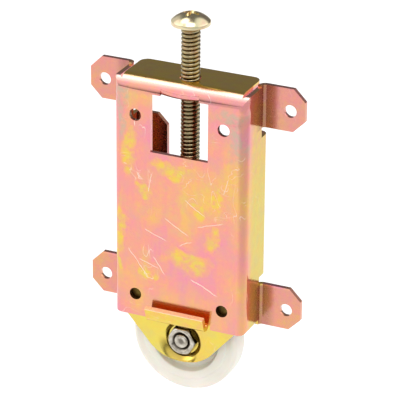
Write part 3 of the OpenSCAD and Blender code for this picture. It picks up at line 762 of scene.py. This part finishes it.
def make_head(material):
    bm = bmesh.new()
    base = UNDER_HEAD_Z
    rise = HEAD_H - HEAD_RIM
    big = (HEAD_R ** 2 + rise ** 2) / (2 * rise)
    centre = base + HEAD_H - big
    start = math.degrees(math.asin((base + HEAD_RIM + 0.12 - centre) / big))
    dome = arc(0, centre, big, start, 89.9, 22)
    rows = lathe(bm, [
        (THREAD_ROOT_R - 0.05, base - 0.6), (THREAD_ROOT_R + 0.05, base - 0.25),
        (2.3, base), (HEAD_R - 0.2, base),
        (HEAD_R - 0.05, base + 0.06), (HEAD_R, base + 0.2), (HEAD_R, base + HEAD_RIM - 0.12),
        (HEAD_R - 0.03, base + HEAD_RIM + 0.02),
    ] + dome, about_screw, 112)
    bm.faces.new(rows[-1])
    bm.faces.new(list(reversed(rows[0])))
    head = new_piece("screw_head", bm, material, "screw", smooth_angle=50)
    cut = bmesh.new()
    top = base + HEAD_H + 0.4
    floor_z = top - 0.4 - RECESS_DEPTH
    section = [
        (-2.45, top), (-2.3, top - 0.5), (-0.9, floor_z), (0.9, floor_z), (2.3, top - 0.5), (2.45, top),
    ]
    for crosswise in (False, True):
        ends = []
        for side in (-0.5, 0.5):
            places = [(side, a, z) if crosswise else (a, side, z) for a, z in section]
            ends.append([cut.verts.new(about_screw(*place)) for place in places])
        grid_faces(cut, ends)
        cut.faces.new(ends[0])
        cut.faces.new(list(reversed(ends[1])))
    carve(head, cut, 0.12)
    return head


# ---------- the wheel ----------

def about_axle(x, z, y):
    return Vector((x, AXLE_Y + y, AXLE_Z + z)) * MM


def dish():
    """What the front leaf's dish takes away."""
    bm = bmesh.new()
    face = mm_box("carriage")[0].y - AXLE_Y
    outline = [(0.1, face + DISH[0][1])] + [(radius, face + depth) for radius, depth in DISH]
    rows = lathe(bm, outline + [(DISH[-1][0], face - 1), (0.1, face - 1)], about_axle)
    bm.faces.new(rows[0])
    bm.faces.new(list(reversed(rows[-1])))
    return bm


def make_wheel(material):
    """The moulded tyre: a web that holds the bearing and a rim with a softly rounded tread."""
    s, r, h = WHEEL_SHOULDER, WHEEL_R, WHEEL_HALF
    half = [(SEAT_R, 0), (SEAT_R, HUB_HALF - 0.15), (SEAT_R + 0.15, HUB_HALF)]
    half += arc(HUB_R - 0.3, HUB_HALF - 0.3, 0.3, 90, 10, 5)
    half += arc(HUB_R + 0.45, WEB_HALF + 0.4, 0.4, 190, 270, 4)
    half += arc(WHEEL_RECESS_R - 0.7, WEB_HALF + 0.5, 0.5, -90, -10, 5)
    half += arc(WHEEL_RECESS_R + 0.4, h - 0.4, 0.4, 170, 90, 6)
    half += arc(WHEEL_STEP_R - 0.25, h - 0.25, 0.25, 90, 20, 4)
    half += [(WHEEL_STEP_R + 0.15, h - 0.24), (WHEEL_STEP_R + 0.4, h - 0.26), (r - s - 0.4, h - 0.1)]
    half += arc(r - s, h - s, s, 86, 8, 10)
    half += [(r - 0.005, 0.6), (r, 0)]
    outline = half + [(radius, -y) for radius, y in reversed(half[1:-1])]
    bm = bmesh.new()
    rows = lathe(bm, outline, about_axle, 144)
    grid_faces(bm, [rows[-1], rows[0]])
    bmesh.ops.remove_doubles(bm, verts=bm.verts, dist=0.002 * MM)
    bmesh.ops.recalc_face_normals(bm, faces=bm.faces)
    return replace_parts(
        new_piece("wheel_moulded", bm, material, "wheel", smooth_angle=40), "wheel_tyre"
    )


ZINC_HOUSING = zinc_housing()
ZINC_CARRIAGE = zinc_carriage()
ZINC_SCREW = zinc_screw()
BRIGHT = bright_zinc("bright_zinc", roughness=0.12)
BEARING = bright_zinc("bearing_steel", roughness=0.14)
NYLON = nylon()

FINISH = {
    "yellow_zinc": ZINC_HOUSING,
    "yellow_zinc_carriage": ZINC_CARRIAGE,
    "yellow_zinc_screw": ZINC_SCREW,
    "bright_steel": BRIGHT,
    "bearing_steel": BEARING,
    "nylon": NYLON,
    "cage_plastic": NYLON,
}

for part in frame["record"]["subparts"]:
    mesh = frame["nodes"][part["node"]].data
    mesh.materials.clear()
    mesh.materials.append(FINISH[part["material_slot"]])


def anywhere(mid):
    return True


def bolt_end(mid):
    return mid.y < AXLE_Y - 4


rounded_copy("housing", "housing_formed", ZINC_HOUSING, [(anywhere, 0.14, 2)], belly_tongue)
rounded_copy("carriage", "carriage_formed", ZINC_CARRIAGE, [(anywhere, 0.14, 2)], cutter=dish)
rounded_copy("axle_nut", "nut_turned", BRIGHT, [(anywhere, 0.1, 3)], countersink_nut)
rounded_copy(
        "axle_bolt", "bolt_turned", BRIGHT, [(bolt_end, 0.16, 4), (anywhere, 0.1, 3)], dimple_bolt
    )
make_wheel(NYLON)
shank = make_screw(ZINC_SCREW)
make_head(ZINC_SCREW)
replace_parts(shank, "adjusting_screw")

# ---------- stage, light and camera ----------

FLOOR_DROP = 45 * MM
FALL_OFF = (0.85, -0.53, 0.0)


def make_floor():
    bpy.ops.mesh.primitive_plane_add(size=8, location=(0, 0, cad_low.z - FLOOR_DROP))
    floor = bpy.context.object
    floor.name = "floor"
    material = bpy.data.materials.new("pale_floor")
    material.use_nodes = True
    bsdf = material.node_tree.nodes["Principled BSDF"]
    bsdf.inputs["Base Color"].default_value = (0.5, 0.5, 0.5, 1)
    bsdf.inputs["Roughness"].default_value = 0.9
    bsdf.inputs["Emission Color"].default_value = (1, 1, 1, 1)
    # the paper glows rather than being lit: most under the object, and its glow falls off towards the
    # front right
    tree = material.node_tree
    place = tree.nodes.new("ShaderNodeTexCoord").outputs["Object"]
    along = tree.nodes.new("ShaderNodeVectorMath")
    along.operation = "DOT_PRODUCT"
    tree.links.new(place, along.inputs[0])
    along.inputs[1].default_value = FALL_OFF
    fade = tree.nodes.new("ShaderNodeMapRange")
    fade.interpolation_type = "SMOOTHSTEP"
    tree.links.new(along.outputs[1], fade.inputs["Value"])
    for key, number in zip(RANGE_ENDS, (0.07, 0.27, 0.54, 0.2)):
        fade.inputs[key].default_value = number
    tree.links.new(fade.outputs["Result"], bsdf.inputs["Emission Strength"])
    floor.data.materials.append(material)


def area_light(name, direction, distance, size, power):
    """A soft light that faces the object from a direction."""
    data = bpy.data.lights.new(name, "AREA")
    data.shape = "SQUARE"
    data.size = size
    data.energy = power
    light = bpy.data.objects.new(name, data)
    bpy.context.scene.collection.objects.link(light)
    toward = Vector(direction).normalized()
    light.location = toward * distance
    light.rotation_euler = toward.to_track_quat("Z", "Y").to_euler()
    light.visible_camera = False


# Soft boxes: direction, cosine at the edge and at the full light, strength
SOFT_BOXES = [
    ((0.95, 0.25, 0.15), 0.70, 0.88, 0.8),
    ((-0.97, 0.1, 0.2), 0.72, 0.90, 0.6),
    ((-0.36, 0.03, 0.93), 0.96, 0.985, 2.4),
    ((-0.75, -0.2, 0.6), 0.86, 0.95, 0.8),
    ((0.6, 0.4, 0.7), 0.8, 0.92, 1.0),
    ((0.15, -0.35, 0.92), 0.86, 0.94, 0.25),
]
FRONT_BOX = 1.0
STUDIO_DARK = 0.2


def make_world():
    """A dim studio, with one broad box over the front and smaller ones overhead and at the sides."""
    world = bpy.data.worlds.new("studio")
    world.use_nodes = True
    bpy.context.scene.world = world
    tree = world.node_tree

    def add_node(kind, operation, first, second):
        made = tree.nodes.new(kind)
        made.operation = operation
        for socket, value in zip(made.inputs, (first, second)):
            if isinstance(value, bpy.types.NodeSocket):
                tree.links.new(value, socket)
            else:
                socket.default_value = value
        return made

    def ease(value, low, high, strength):
        made = tree.nodes.new("ShaderNodeMapRange")
        made.interpolation_type = "SMOOTHSTEP"
        tree.links.new(value, made.inputs["Value"])
        made.inputs["From Min"].default_value = low
        made.inputs["From Max"].default_value = high
        made.inputs["To Max"].default_value = strength
        return made.outputs["Result"]

    look = tree.nodes.new("ShaderNodeTexCoord").outputs["Generated"]
    total = STUDIO_DARK
    for direction, edge, full, strength in SOFT_BOXES:
        toward = Vector(direction).normalized()
        dot = add_node("ShaderNodeVectorMath", "DOT_PRODUCT", look, toward).outputs[1]
        total = add_node("ShaderNodeMath", "ADD", ease(dot, edge, full, strength), total).outputs[0]
    height = add_node("ShaderNodeVectorMath", "DOT_PRODUCT", look, (0, 0, 1)).outputs[1]
    forward = add_node("ShaderNodeVectorMath", "DOT_PRODUCT", look, (0, -1, 0)).outputs[1]
    front = add_node(
        "ShaderNodeMath", "MULTIPLY", ease(height, 0.0, 0.42, FRONT_BOX), ease(forward, -0.05, 0.4, 1.0)
    ).outputs[0]
    total = add_node("ShaderNodeMath", "ADD", front, total).outputs[0]
    background = tree.nodes["Background"]
    tree.links.new(total, background.inputs["Strength"])
    background.inputs["Color"].default_value = (1, 1, 1, 1)


CAMERA_AZIMUTH = math.radians(24.556)
CAMERA_ELEVATION = math.radians(24.233)
CAMERA_ROLL = math.radians(0.404)
CAMERA_DISTANCE = 684.3 * MM
CAMERA_TARGET = Vector((0, -3.25, -2.2)) * MM
LENS = 246.4


def make_camera():
    data = bpy.data.cameras.new("camera")
    data.lens = LENS
    data.sensor_width = 36
    data.shift_x = 0.0198
    data.shift_y = 0.0142
    data.clip_start = 0.01
    camera = bpy.data.objects.new("camera", data)
    bpy.context.scene.collection.objects.link(camera)
    a, e = CAMERA_AZIMUTH, CAMERA_ELEVATION
    right = Vector((math.cos(a), math.sin(a), 0))
    back = Vector((math.sin(a) * math.cos(e), -math.cos(a) * math.cos(e), math.sin(e)))
    up = back.cross(right)
    turn = Matrix((right, up, back)).transposed().to_4x4()
    place = Matrix.Translation(CAMERA_TARGET + back * CAMERA_DISTANCE)
    camera.matrix_world = place @ turn @ Matrix.Rotation(CAMERA_ROLL, 4, "Z")
    bpy.context.scene.camera = camera


make_floor()
make_world()
area_light("overhead", (0.1, -0.3, 1), 0.7, 0.35, 1.0)
make_camera()
bpy.context.scene.view_settings.view_transform = "Standard"
